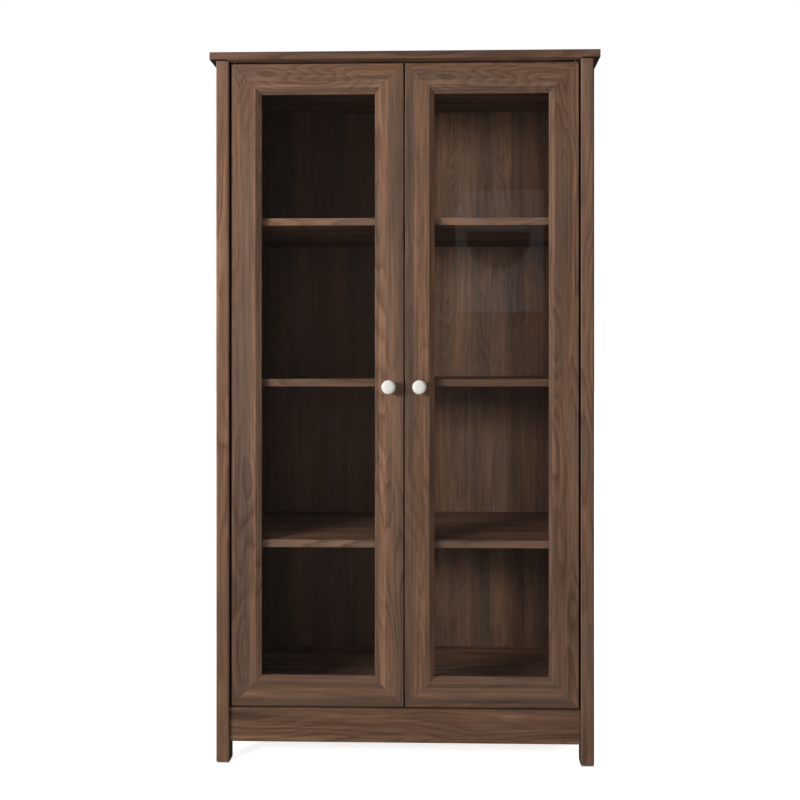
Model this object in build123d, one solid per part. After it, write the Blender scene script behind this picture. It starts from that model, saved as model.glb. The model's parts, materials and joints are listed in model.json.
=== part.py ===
"""China cabinet with two glazed doors: four corner posts, panelled sides, three loose shelves.

Frame: +Z up, +X to the right, +Y to the back. The origin is the middle of the footprint, on the
floor. Each door turns on a pair of concealed pivots let into its top and bottom edges.
"""

from build123d import *
import os

# --- Driving dimensions, millimetres -------------------------------------------------------

# Carcass
body_width = 900.0
body_depth = 400.0
total_height = 1692.0
glide_height = 3.0
glide_radius = 11.0
glide_nail_radius = 1.5
glide_nail_length = 14.0

# Top
top_thickness = 18.0
top_side_overhang = 13.0
top_front_overhang = 8.0
top_edge_round = 2.0

# Posts, which run down as the legs
post_width = 32.0
post_depth = 30.0
post_front_round = 5.0
post_outer_round = 2.0

# Panels and rails
side_thickness = 18.0
leg_clear_height = 48.0
apron_height = 81.0
apron_thickness = 22.0
front_recess = 8.0
floor_top = 137.0
floor_thickness = 18.0
cleat_size = 20.0
back_thickness = 4.0
rear_rail_thickness = 15.0
rear_top_rail_height = 80.0
groove_depth = 4.0
groove_clearance = 0.2

# Shelves
shelf_thickness = 18.0
shelf_setback = 34.0
shelf_end_clearance = 1.0
shelf_back_clearance = 2.0
shelf_edge_round = 1.0
shelf_spacing = 390.0
shelf_pin_inset = 37.0
pin_radius = 2.5
pin_depth = 10.0
pin_spoon_length = 11.0
pin_spoon_width = 12.0
pin_spoon_thickness = 2.0
pin_hole_clearance = 0.05
pin_hole_pitch = 32.0
pin_holes_each_way = 2

# Doors
door_thickness = 22.0
door_side_gap = 3.0
door_centre_gap = 3.0
door_top_gap = 5.0
door_bottom_gap = 3.5
frame_width = 70.0
frame_edge_round = 2.0
bevel_width = 12.0
bevel_depth = 11.0
rebate_width = 10.0
rebate_front = 12.5
glass_thickness = 4.0
glass_edge_clearance = 1.5
bead_width = 9.0
bead_mitre_gap = 0.1
door_stop_clearance = 2.0

# Concealed pivots
pivot_inset = 7.0
pivot_setback = 6.0
pivot_pin_radius = 2.5
pivot_running_clearance = 0.05
pivot_pin_seat = 8.0
pivot_end_room = 1.0
pivot_plate_length = 56.0
pivot_plate_width = 14.0
pivot_plate_thickness = 2.5
pivot_plate_edge = 4.0
pivot_pocket_radius = 3.5
pivot_pin_reach = 3.0
plate_screw_from_pivot = 20.0
plate_screw_spacing = 22.0
washer_radius = 4.5

# Knobs
knob_head_radius = 17.0
knob_length = 28.0
knob_foot_radius = 9.5
knob_neck_radius = 6.5
knob_neck_height = 7.0
knob_rim_height = 18.0
knob_height = 896.5
knob_bore_depth = 15.0
machine_screw_radius = 2.0
machine_screw_head_radius = 4.2
machine_screw_head_height = 2.0
driver_slot_width = 1.0
driver_slot_depth = 1.0
machine_screw_clearance = 0.25
thread_clearance = 0.05

# Magnetic catch for both doors
catch_wall = 3.0
catch_depth = 16.0
catch_gap = 0.6
catch_screw_spacing = 20.0
magnet_width = 22.0
magnet_height = 8.0
magnet_depth = 9.0
magnet_centre = 30.0
strike_width = 24.0
strike_height = 13.0
strike_thickness = 1.2
strike_screw_inset = 4.5
strike_round = 2.0
strike_drop = 2.5
bumper_radius = 3.0
bumper_thickness = 1.5
bumper_inset = 14.0

# Fasteners
dowel_radius = 4.0
dowel_length = 30.0
dowel_end_space = 1.0
screw_radius = 1.75
screw_head_radius = 3.5
screw_head_height = 2.0
screw_length = 14.0
long_screw_length = 30.0
back_screw_rise = 14.0
hole_clearance = 0.05
cam_radius = 7.5
cam_depth = 12.0
cam_setback = 34.0
cam_from_corner = 60.0
cam_bolt_radius = 3.0
cam_bolt_head_radius = 3.6
cam_bolt_head_height = 3.0
cam_bolt_bite = 11.0
cam_slot_width = 8.0
cam_cross_length = 9.0
cam_cross_width = 2.0
cam_cross_depth = 1.5
wall_hole_radius = 3.0
wall_hole_spacing = 500.0
wall_hole_drop = 40.0

# --- Places worked out from them -----------------------------------------------------------

half_width = body_width / 2
front_reach = max(knob_length - front_recess, top_front_overhang)
front_y = -(body_depth - front_reach) / 2
rear_y = front_y + body_depth
inner_x = half_width - post_width
post_back_y = front_y + post_depth
rear_post_front_y = rear_y - post_depth
top_underside = total_height - top_thickness
apron_top = leg_clear_height + apron_height
floor_underside = floor_top - floor_thickness
door_front_y = front_y + front_recess
door_back_y = door_front_y + door_thickness
back_rear_y = rear_y - rear_rail_thickness
back_front_y = back_rear_y - back_thickness
apron_back_y = door_front_y + apron_thickness
floor_front_y = max(door_back_y + door_stop_clearance, apron_back_y)
back_bottom = floor_underside - cleat_size / 2
shelf_front_y = front_y + shelf_setback
shelf_rear_y = back_front_y - shelf_back_clearance
pin_front_y = shelf_front_y + shelf_pin_inset
pin_rear_y = shelf_rear_y - shelf_pin_inset
door_bottom = apron_top + door_bottom_gap
door_top = top_underside - door_top_gap
door_outer_x = inner_x - door_side_gap
door_inner_x = door_centre_gap / 2
pivot_x = door_outer_x - pivot_inset
pivot_y = door_front_y + pivot_setback
knob_x = door_inner_x + frame_width / 2
post_middle_x = half_width - post_width / 2
post_middles_y = ((front_y + post_back_y) / 2, (rear_post_front_y + rear_y) / 2)
apron_middle_y = door_front_y + apron_thickness / 2
rear_rail_middle_y = rear_y - rear_rail_thickness / 2
side_middle_x = inner_x + side_thickness / 2
middle_shelf_top = (floor_top + top_underside + shelf_thickness) / 2
shelf_tops = {
    "upper": middle_shelf_top + shelf_spacing,
    "middle": middle_shelf_top,
    "lower": middle_shelf_top - shelf_spacing,
}
sides = {"left": -1, "right": 1}


# --- Shapes that are used again and again --------------------------------------------------


def block(x, y, z):
    """A box from its lowest and highest value along each axis; x may be given either way round."""
    (x0, x1), (y0, y1), (z0, z1) = sorted(x), sorted(y), sorted(z)
    return Pos((x0 + x1) / 2, (y0 + y1) / 2, (z0 + z1) / 2) * Box(x1 - x0, y1 - y0, z1 - z0)


def rod(axis, centre, span, radius):
    """A round bar along X, Y or Z: centre is its place in the other two axes, span its two ends."""
    low, high = sorted(span)
    bar = Cylinder(radius, high - low)
    middle = (low + high) / 2
    if axis == "X":
        return Pos(middle, *centre) * Rot(0, 90, 0) * bar
    if axis == "Y":
        return Pos(centre[0], middle, centre[1]) * Rot(90, 0, 0) * bar
    return Pos(centre[0], centre[1], middle) * bar


def cut(shape, cutters):
    """The shape with every cutter taken away."""
    for cutter in cutters:
        shape -= cutter
    return shape


def screw(axis, centre, face, inward, length=screw_length, extra=0.0):
    """A countersunk wood screw whose head is level with face and which goes inward, +1 or -1.

    With extra, the same shape a little fatter and longer: the hole that it sits in.
    """
    under_head = face + inward * screw_head_height
    tip = face + inward * (length + extra)
    shank = rod(axis, centre, (under_head, tip), screw_radius + extra)
    head = Cone(screw_head_radius + extra, screw_radius + extra, screw_head_height)
    middle = face + inward * screw_head_height / 2
    if axis == "X":
        placed = Pos(middle, *centre) * Rot(0, 90 * inward, 0) * head
    elif axis == "Y":
        placed = Pos(centre[0], middle, centre[1]) * Rot(-90 * inward, 0, 0) * head
    else:
        placed = Pos(centre[0], centre[1], middle) * Rot(0 if inward > 0 else 180, 0, 0) * head
    return shank + placed


def screw_hole(axis, centre, face, inward, length=screw_length):
    return screw(axis, centre, face, inward, length, hole_clearance)


def dowel(axis, centre, joint):
    """A beech dowel centred on the joint plane."""
    half = dowel_length / 2
    return rod(axis, centre, (joint - half, joint + half), dowel_radius)


def dowel_hole(axis, centre, joint):
    half = dowel_length / 2 + dowel_end_space
    return rod(axis, centre, (joint - half, joint + half), dowel_radius + hole_clearance)


def save(name, *solids):
    """Writes one named sub-part, as one solid or as a group of separate ones."""
    shape = solids[0] if len(solids) == 1 else Compound(children=list(solids))
    export_step(shape, f"parts/{name}.step")


# --- Fasteners of the carcass --------------------------------------------------------------

side_dowel_levels = (
    floor_top + dowel_length,
    (floor_top + top_underside) / 2,
    top_underside - 2 * cam_setback,
)
apron_dowel_levels = (leg_clear_height + apron_height / 4, apron_top - apron_height / 4)
top_rail_bottom = top_underside - rear_top_rail_height
top_rail_dowel_levels = (
    top_rail_bottom + rear_top_rail_height / 4,
    top_underside - rear_top_rail_height / 4,
)


def carcass_dowel_places():
    """(axis, centre, joint plane) of every dowel in the carcass."""
    places = []
    for sign in sides.values():
        for level in side_dowel_levels:
            for joint in (post_back_y, rear_post_front_y):
                places.append(("Y", (sign * side_middle_x, level), joint))
        for level in apron_dowel_levels:
            places.append(("X", (apron_middle_y, level), sign * inner_x))
            places.append(("X", (rear_rail_middle_y, level), sign * inner_x))
        for level in top_rail_dowel_levels:
            places.append(("X", (rear_rail_middle_y, level), sign * inner_x))
        for y in post_middles_y:
            places.append(("Z", (sign * post_middle_x, y), top_underside))
    return places


def dowel_holes():
    return [dowel_hole(*place) for place in carcass_dowel_places()]


cam_places = [
    (sign, y)
    for sign in sides.values()
    for y in (post_back_y + cam_from_corner, rear_post_front_y - cam_from_corner)
]
cam_level = top_underside - cam_setback


cam_bolt_bottom = cam_level - cam_bolt_head_height / 2
cam_bolt_top = top_underside + cam_bolt_bite


def cam_bolt(sign, y):
    """The bolt that stands in the top and that a cam lock pulls down."""
    place = (sign * side_middle_x, y)
    head_high = cam_bolt_bottom + cam_bolt_head_height
    stem = rod("Z", place, (head_high, cam_bolt_top), cam_bolt_radius)
    return stem + rod("Z", place, (cam_bolt_bottom, head_high), cam_bolt_head_radius)


def cam_bolt_hole_in_side(sign, y):
    span = (cam_bolt_bottom - dowel_end_space, top_underside)
    return rod("Z", (sign * side_middle_x, y), span, cam_bolt_head_radius + hole_clearance)


def cam_bolt_hole_in_top(sign, y):
    return rod("Z", (sign * side_middle_x, y), (top_underside, cam_bolt_top), cam_bolt_radius + hole_clearance)


def cam_lock(sign, y):
    """A round cam let into the side's inner face, slotted for the bolt and crossed for a driver."""
    face = sign * inner_x
    disc = rod("X", (y, cam_level), (face, face + sign * cam_depth), cam_radius)
    half = cam_slot_width / 2
    low = cam_level - half
    slot_start = sign * (side_middle_x - half)
    slot = block(
        (slot_start, face + sign * (cam_depth + 1)), (y - half, y + half), (low, cam_level + cam_radius + 1)
    )
    arm, width = cam_cross_length / 2, cam_cross_width / 2
    groove = (face, face + sign * cam_cross_depth)
    cross = [
        block(groove, (y - arm, y + arm), (cam_level - width, cam_level + width)),
        block(groove, (y - width, y + width), (cam_level - arm, cam_level + arm)),
    ]
    return cut(disc, [slot, *cross])


def cam_pocket(sign, y):
    face = sign * inner_x
    depth = face + sign * (cam_depth + hole_clearance)
    return rod("X", (y, cam_level), (face, depth), cam_radius + hole_clearance)


def cleat_screw_places():
    """(axis, centre, face, inward) of the screws that hold the three cleats."""
    level = floor_underside - cleat_size / 2
    middle = (floor_front_y + back_front_y) / 2
    reach = (back_front_y - floor_front_y) / 3
    places = []
    for sign in sides.values():
        for y in (middle - reach, middle, middle + reach):
            places.append(("X", (y, level), sign * (inner_x - cleat_size), sign))
    for x in (-inner_x / 2, 0.0, inner_x / 2):
        places.append(("Y", (x, level), apron_back_y + cleat_size, -1))
    return places


back_screw_places = [
    ("Y", (step * inner_x * 0.4, floor_underside + back_screw_rise), back_rear_y, -1) for step in range(-2, 3)
]


# --- Pivots --------------------------------------------------------------------------------

plate_end_x = pivot_x + pivot_plate_edge - pivot_plate_length
plate_y = (pivot_y - pivot_plate_edge, pivot_y - pivot_plate_edge + pivot_plate_width)
plate_screw_xs = tuple(pivot_x - plate_screw_from_pivot - step * plate_screw_spacing for step in (0, 1))
plate_screw_y = (plate_y[0] + plate_y[1]) / 2


def plate_x(sign):
    start = sign * plate_end_x
    return (start, start + sign * pivot_plate_length)


# face of the wood that each plate is let into, and the way the screws go in
carcass_plate_faces = {"top": (top_underside, 1), "bottom": (apron_top, -1)}
door_plate_faces = {"top": (door_top, -1), "bottom": (door_bottom, 1)}


def plate_screws(sign, faces):
    """(axis, centre, face, inward) of the screws of one side's plates."""
    return [
        ("Z", (sign * x, plate_screw_y), face, inward)
        for face, inward in faces.values()
        for x in plate_screw_xs
    ]


def pivot_plate(sign, face, inward, bore_radius):
    """A steel plate let into an edge, with the hole for the pivot pin and two for its screws."""
    plate = block(plate_x(sign), plate_y, (face, face + inward * pivot_plate_thickness))
    reach = (face - inward, face + 2 * inward * pivot_plate_thickness)
    holes = [rod("Z", (sign * pivot_x, pivot_y), reach, bore_radius)]
    holes += [screw_hole("Z", (sign * x, plate_screw_y), face, inward) for x in plate_screw_xs]
    return cut(plate, holes)


def plate_mortise(sign, face, inward):
    return block(plate_x(sign), plate_y, (face, face + inward * pivot_plate_thickness))


def pivot_pin(sign, end):
    """A pin fixed in the carcass plate, whose free end turns in the door's plate."""
    face, inward = carcass_plate_faces[end]
    door_face, door_inward = door_plate_faces[end]
    seat = face + inward * pivot_pin_seat
    tip = door_face + door_inward * (pivot_plate_thickness + pivot_pin_reach)
    return rod("Z", (sign * pivot_x, pivot_y), (seat, tip), pivot_pin_radius)


def pivot_pin_hole(sign, end):
    face, inward = carcass_plate_faces[end]
    span = (face, face + inward * pivot_pin_seat)
    return rod("Z", (sign * pivot_x, pivot_y), span, pivot_pin_radius + hole_clearance)


def pivot_pocket(sign, end):
    """Room in the door's wood for the pin's end."""
    face, inward = door_plate_faces[end]
    start = face + inward * pivot_plate_thickness
    span = (start, start + inward * (pivot_pin_reach + pivot_end_room))
    return rod("Z", (sign * pivot_x, pivot_y), span, pivot_pocket_radius)


def bearing_washer(sign):
    """The nylon washer on the bottom pin that carries the door."""
    span = (apron_top, door_bottom)
    ring = rod("Z", (sign * pivot_x, pivot_y), span, washer_radius)
    return ring - rod("Z", (sign * pivot_x, pivot_y), span, pivot_pin_radius + pivot_running_clearance)


# --- Carcass -------------------------------------------------------------------------------


def top_panel():
    half = half_width + top_side_overhang
    slab = block((-half, half), (front_y - top_front_overhang, rear_y), (top_underside, total_height))
    corners = slab.edges().filter_by(Axis.Z).group_by(Axis.Y)[0]
    slab = fillet(corners, top_edge_round)
    rims = [
        edge
        for edge in slab.edges()
        if abs(edge.center().Z - total_height) < 0.01 or abs(edge.center().Z - top_underside) < 0.01
    ]
    rims = [edge for edge in rims if edge.center().Y < rear_y - 1]
    slab = fillet(rims, top_edge_round / 2)
    cutters = [cam_bolt_hole_in_top(*place) for place in cam_places] + dowel_holes()
    cutters.append(back_groove_in_top())
    cutters += [screw_hole(*place, long_screw_length) for place in catch_screw_places()]
    for sign in sides.values():
        face, inward = carcass_plate_faces["top"]
        cutters.append(plate_mortise(sign, face, inward))
        cutters.append(pivot_pin_hole(sign, "top"))
        cutters += [
            screw_hole("Z", (sign * x, plate_screw_y), face, inward) for x in plate_screw_xs
        ]
    return cut(slab, cutters)


def back_groove_in_top():
    reach = inner_x + groove_depth
    depth = (back_front_y - groove_clearance, back_rear_y)
    return block((-reach, reach), depth, (top_underside, top_underside + groove_depth))


def post(sign, is_front):
    """A corner post, whose lower end is the leg."""
    y = (front_y, post_back_y) if is_front else (rear_post_front_y, rear_y)
    solid = block((sign * inner_x, sign * half_width), y, (glide_height, top_underside))
    uprights = solid.edges().filter_by(Axis.Z)
    if is_front:
        solid = fillet(uprights.group_by(Axis.Y)[0], post_front_round)
        outer_y = post_back_y
    else:
        outer_y = rear_post_front_y
    outer = [
        edge
        for edge in solid.edges().filter_by(Axis.Z)
        if abs(abs(edge.center().X) - half_width) < 0.01
        and (abs(edge.center().Y - outer_y) < 0.01 or abs(edge.center().Y - rear_y) < 0.01)
    ]
    solid = fillet(outer, post_outer_round)
    cutters = dowel_holes()
    if not is_front:
        reach = sign * (inner_x + groove_depth)
        depth = (back_front_y - groove_clearance, back_rear_y)
        span = (back_bottom - groove_clearance, top_underside)
        cutters.append(block((sign * inner_x, reach), depth, span))
    middle_x, middle_y = sign * post_middle_x, (y[0] + y[1]) / 2
    nail = (glide_height, glide_height + glide_nail_length + dowel_end_space)
    cutters.append(rod("Z", (middle_x, middle_y), nail, glide_nail_radius + hole_clearance))
    return cut(solid, cutters)


def glide(sign, y):
    """A round nylon glide nailed into the end of a leg."""
    place = (sign * post_middle_x, y)
    disc = rod("Z", place, (0.0, glide_height), glide_radius)
    disc = fillet(disc.edges().group_by(Axis.Z)[0], glide_height / 3)
    return disc + rod("Z", place, (glide_height, glide_height + glide_nail_length), glide_nail_radius)


def shelf_pin_levels(top):
    """Centre heights of the column of pin holes around one shelf."""
    centre = top - shelf_thickness - pin_spoon_thickness - pin_radius
    steps = range(-pin_holes_each_way, pin_holes_each_way + 1)
    return [centre + step * pin_hole_pitch for step in steps]


def side_panel(sign):
    outer = sign * (inner_x + side_thickness)
    solid = block((sign * inner_x, outer), (post_back_y, rear_post_front_y), (leg_clear_height, top_underside))
    cutters = dowel_holes()
    for place in cam_places:
        if place[0] == sign:
            cutters += [cam_pocket(*place), cam_bolt_hole_in_side(*place)]
    hole_end = sign * (inner_x + pin_depth + dowel_end_space)
    for top in shelf_tops.values():
        for level in shelf_pin_levels(top):
            for y in (pin_front_y, pin_rear_y):
                radius = pin_radius + pin_hole_clearance
                cutters.append(rod("X", (y, level), (sign * inner_x, hole_end), radius))
    cutters += [screw_hole(*place, long_screw_length) for place in cleat_screw_places()]
    return cut(solid, cutters)


def front_apron():
    solid = block((-inner_x, inner_x), (door_front_y, apron_back_y), (leg_clear_height, apron_top))
    cutters = dowel_holes()
    cutters += [screw_hole(*place, long_screw_length) for place in cleat_screw_places()]
    for sign in sides.values():
        face, inward = carcass_plate_faces["bottom"]
        cutters.append(plate_mortise(sign, face, inward))
        cutters.append(pivot_pin_hole(sign, "bottom"))
        cutters += [
            screw_hole("Z", (sign * x, plate_screw_y), face, inward) for x in plate_screw_xs
        ]
    return cut(solid, cutters)


def rear_rail(low, high, with_wall_holes=False):
    solid = block((-inner_x, inner_x), (back_rear_y, rear_y), (low, high))
    cutters = dowel_holes()
    if with_wall_holes:
        cutters += wall_holes()
    return cut(solid, cutters)


def wall_holes():
    """Clear holes for the screws that stop the cabinet tipping."""
    level = top_underside - wall_hole_drop
    return [
        rod("Y", (sign * wall_hole_spacing / 2, level), (back_front_y, rear_y), wall_hole_radius)
        for sign in sides.values()
    ]


def floor_panel():
    solid = block((-inner_x, inner_x), (floor_front_y, back_front_y), (floor_underside, floor_top))
    front_edges = solid.edges().filter_by(Axis.X).group_by(Axis.Y)[0]
    solid = fillet(front_edges, shelf_edge_round)
    return cut(solid, [screw_hole(*place, long_screw_length) for place in back_screw_places])


def back_panel():
    reach = inner_x + groove_depth - groove_clearance
    top = top_underside + groove_depth - groove_clearance
    solid = block((-reach, reach), (back_front_y, back_rear_y), (back_bottom, top))
    cutters = [screw_hole(*place, long_screw_length) for place in back_screw_places]
    return cut(solid, cutters + wall_holes())


def cleat(name):
    """One of the strips that carry the floor."""
    z = (floor_underside - cleat_size, floor_underside)
    if name == "front":
        x = inner_x - cleat_size
        solid = block((-x, x), (apron_back_y, apron_back_y + cleat_size), z)
    else:
        sign = sides[name]
        x = (sign * inner_x, sign * (inner_x - cleat_size))
        solid = block(x, (max(post_back_y, apron_back_y), rear_post_front_y), z)
    return cut(solid, [screw_hole(*place, long_screw_length) for place in cleat_screw_places()])


def shelf(top):
    half = inner_x - shelf_end_clearance
    solid = block((-half, half), (shelf_front_y, shelf_rear_y), (top - shelf_thickness, top))
    return fillet(solid.edges().filter_by(Axis.X).group_by(Axis.Y)[0], shelf_edge_round)


def shelf_pin(sign, y, top):
    """A steel pin with a flat spoon that the shelf lies on."""
    underside = top - shelf_thickness
    centre = underside - pin_spoon_thickness - pin_radius
    end = sign * (inner_x - pin_spoon_length)
    stem = rod("X", (y, centre), (sign * (inner_x + pin_depth), end), pin_radius)
    half = pin_spoon_width / 2
    low = underside - pin_spoon_thickness - pin_radius / 2
    spoon = block((sign * inner_x, end), (y - half, y + half), (low, underside))
    return stem + spoon


# --- Doors ---------------------------------------------------------------------------------


def frame_section(edge, toward, along_z):
    """Cross-section of a frame member: u runs from its outer edge inwards, w from front to back."""
    rebate_u = frame_width - rebate_width
    outline = [
        (0, 0),
        (frame_width - bevel_width, 0),
        (frame_width, bevel_depth),
        (frame_width, rebate_front),
        (rebate_u, rebate_front),
        (rebate_u, door_thickness),
        (0, door_thickness),
    ]
    places = [(edge + toward * u, door_front_y + w) for u, w in outline]
    if not along_z:
        places = [(y, z) for z, y in places]
    face = make_face(Polyline(*places, close=True))
    corner = face.vertices().sort_by_distance(Vector(*places[0], 0))[0]
    return fillet(corner, frame_edge_round)


def frame_member(x, z, part):
    """A mitred stile or rail of the door that spans x and z."""
    (x0, x1), (z0, z1) = x, z
    w = frame_width
    corners = {
        "left": [(x0, z0), (x0 + w, z0 + w), (x0 + w, z1 - w), (x0, z1)],
        "right": [(x1, z0), (x1 - w, z0 + w), (x1 - w, z1 - w), (x1, z1)],
        "top": [(x0, z1), (x0 + w, z1 - w), (x1 - w, z1 - w), (x1, z1)],
        "bottom": [(x0, z0), (x0 + w, z0 + w), (x1 - w, z0 + w), (x1, z0)],
    }[part]
    if part in ("left", "right"):
        section = frame_section(x0 if part == "left" else x1, 1 if part == "left" else -1, True)
        bar = extrude(Plane.XY.offset(z0) * section, z1 - z0)
    else:
        section = frame_section(z1 if part == "top" else z0, -1 if part == "top" else 1, False)
        upright = Plane(origin=(x0, 0, 0), x_dir=(0, 1, 0), z_dir=(1, 0, 0))
        bar = extrude(upright * section, x1 - x0)
    mitre = Plane(origin=(0, door_front_y, 0), x_dir=(1, 0, 0), z_dir=(0, -1, 0))
    wedge = extrude(mitre * make_face(Polyline(*corners, close=True)), -door_thickness)
    return bar & wedge


def knob(sign):
    """A turned knob: foot, waist and domed head, bored for its screw."""
    foot, neck = (knob_foot_radius, 0), (knob_neck_radius, knob_neck_height)
    rim, crown = (knob_head_radius, knob_rim_height), (0, knob_length)
    profile = [
        Line((0, 0), foot),
        Spline(foot, neck, tangents=[(-0.4, 1), (0, 1)]),
        Spline(neck, rim, tangents=[(0, 1), (0, 1)]),
        Spline(rim, crown, tangents=[(0, 1), (-1, 0)]),
        Line(crown, (0, 0)),
    ]
    face = Plane.XZ * make_face(profile)
    solid = revolve(face, Axis.Z)
    solid -= rod("Z", (0, 0), (0, knob_bore_depth), machine_screw_radius + thread_clearance)
    return Pos(sign * knob_x, door_front_y, knob_height) * Rot(90, 0, 0) * solid


def knob_screw(sign):
    """The machine screw that goes through the stile from the back into the knob."""
    place = (sign * knob_x, knob_height)
    tip = door_front_y - knob_bore_depth + dowel_end_space
    shank = rod("Y", place, (tip, door_back_y), machine_screw_radius)
    head_span = (door_back_y, door_back_y + machine_screw_head_height)
    head = rod("Y", place, head_span, machine_screw_head_radius)
    head = fillet(head.edges().group_by(Axis.Y)[-1], machine_screw_head_height / 3)
    arm, width = machine_screw_head_radius, driver_slot_width / 2
    slot_span = (head_span[1] - driver_slot_depth, head_span[1])
    slot = block((place[0] - arm, place[0] + arm), slot_span, (place[1] - width, place[1] + width))
    return (shank + head) - slot


def strike_box(sign):
    """(x, z) spans of the strike plate on a door's back."""
    middle = sign * magnet_centre
    high = door_top - strike_drop
    return (middle - strike_width / 2, middle + strike_width / 2), (high - strike_height, high)


def strike_screw_places(sign):
    (x0, x1), (z0, z1) = strike_box(sign)
    face = door_back_y + strike_thickness
    ends = (x0 + strike_screw_inset, x1 - strike_screw_inset)
    return [("Y", (x, (z0 + z1) / 2), face, -1) for x in ends]


def strike_plate(sign):
    x, z = strike_box(sign)
    plate = block(x, (door_back_y, door_back_y + strike_thickness), z)
    plate = fillet(plate.edges().filter_by(Axis.Y), strike_round)
    return cut(plate, [screw_hole(*place) for place in strike_screw_places(sign)])


def glass_pane(x, z):
    margin = frame_width - rebate_width + glass_edge_clearance
    y = door_front_y + rebate_front
    return block((x[0] + margin, x[1] - margin), (y, y + glass_thickness), (z[0] + margin, z[1] - margin))


def glazing_beads(x, z):
    """Four strips that hold the glass in its rebate; the uprights run full height."""
    y = (door_front_y + rebate_front + glass_thickness, door_back_y)
    outer = frame_width - rebate_width
    x0, x1, z0, z1 = x[0] + outer, x[1] - outer, z[0] + outer, z[1] - outer
    inner_ends = (x0 + bead_width + bead_mitre_gap, x1 - bead_width - bead_mitre_gap)
    strips = [
        block((x0, x0 + bead_width), y, (z0, z1)),
        block((x1 - bead_width, x1), y, (z0, z1)),
        block(inner_ends, y, (z0, z0 + bead_width)),
        block(inner_ends, y, (z1 - bead_width, z1)),
    ]
    return [eased_bead(strip) for strip in strips]


def eased_bead(strip):
    """The strip with its rear edges eased."""
    box = strip.bounding_box()
    axis = Axis.Z if box.size.Z > box.size.X else Axis.X
    rear = strip.edges().filter_by(axis).group_by(Axis.Y)[-1]
    return fillet(rear, frame_edge_round / 2)


def bumper(sign):
    """A soft dot on the door's back, low down by the meeting edge, where it meets the floor panel."""
    place = (sign * (door_inner_x + bumper_inset), door_bottom + bumper_radius)
    return rod("Y", place, (door_back_y, door_back_y + bumper_thickness), bumper_radius)


def save_door(name):
    """All the sub-parts of one door."""
    sign = sides[name]
    x = tuple(sorted((sign * door_inner_x, sign * door_outer_x)))
    z = (door_bottom, door_top)
    stiles = {"hinge_stile": name, "meeting_stile": "right" if name == "left" else "left"}
    cutters = [screw_hole(*place) for place in plate_screws(sign, door_plate_faces)]
    cutters += [screw_hole(*place) for place in strike_screw_places(sign)]
    for end, (face, inward) in door_plate_faces.items():
        cutters += [plate_mortise(sign, face, inward), pivot_pocket(sign, end)]
    shank_hole = machine_screw_radius + machine_screw_clearance
    cutters.append(rod("Y", (sign * knob_x, knob_height), (door_front_y, door_back_y), shank_hole))
    for label, part in {**stiles, "top_rail": "top", "bottom_rail": "bottom"}.items():
        save(f"{name}_door_{label}", cut(frame_member(x, z, part), cutters))
    save(f"{name}_door_glass", glass_pane(x, z))
    save(f"{name}_door_glazing_beads", *glazing_beads(x, z))
    save(f"{name}_door_knob", knob(sign))
    save(f"{name}_door_knob_screw", knob_screw(sign))
    save(f"{name}_door_strike_plate", strike_plate(sign))
    bore = pivot_pin_radius + pivot_running_clearance
    plates = [pivot_plate(sign, face, inward, bore) for face, inward in door_plate_faces.values()]
    save(f"{name}_door_pivot_plates", *plates)
    screws = plate_screws(sign, door_plate_faces) + strike_screw_places(sign)
    save(f"{name}_door_screws", *[screw(*place) for place in screws])
    save(f"{name}_door_bumper", bumper(sign))


# --- Catch ---------------------------------------------------------------------------------

catch_front_y = door_back_y + strike_thickness + catch_gap
magnet_level = door_top - strike_drop - strike_height / 2
catch_bottom = magnet_level - magnet_height / 2 - catch_wall


def magnet_box(sign, room=0.0):
    """The space of one magnet, grown by room on the sides that the housing wraps."""
    middle, half = sign * magnet_centre, magnet_width / 2 + room
    tall = magnet_height / 2 + room
    y = (catch_front_y, catch_front_y + magnet_depth)
    return block((middle - half, middle + half), y, (magnet_level - tall, magnet_level + tall))


def catch_screw_places():
    middle = catch_front_y + catch_depth / 2
    return [("Z", (sign * catch_screw_spacing / 2, middle), catch_bottom, 1) for sign in sides.values()]


def catch_housing():
    half = magnet_centre + magnet_width / 2 + catch_wall
    y = (catch_front_y, catch_front_y + catch_depth)
    solid = block((-half, half), y, (catch_bottom, top_underside))
    solid = fillet(solid.edges().filter_by(Axis.Y).group_by(Axis.Z)[0], catch_wall / 2)
    pockets = [magnet_box(sign, hole_clearance) for sign in sides.values()]
    return cut(solid, pockets + [screw_hole(*place, long_screw_length) for place in catch_screw_places()])


# --- Writing the files ---------------------------------------------------------------------


def save_carcass():
    save("top_panel", top_panel())
    for name, sign in sides.items():
        save(f"front_post_{name}", post(sign, True))
        save(f"rear_post_{name}", post(sign, False))
        save(f"side_panel_{name}", side_panel(sign))
        save(f"floor_cleat_{name}", cleat(name))
    save("floor_cleat_front", cleat("front"))
    save("front_apron", front_apron())
    save("rear_bottom_rail", rear_rail(leg_clear_height, apron_top))
    save("rear_top_rail", rear_rail(top_rail_bottom, top_underside, with_wall_holes=True))
    save("floor_panel", floor_panel())
    save("back_panel", back_panel())
    pins = []
    for name, top in shelf_tops.items():
        save(f"shelf_{name}", shelf(top))
        pins += [shelf_pin(sign, y, top) for sign in sides.values() for y in (pin_front_y, pin_rear_y)]
    save("shelf_pins", *pins)


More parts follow.
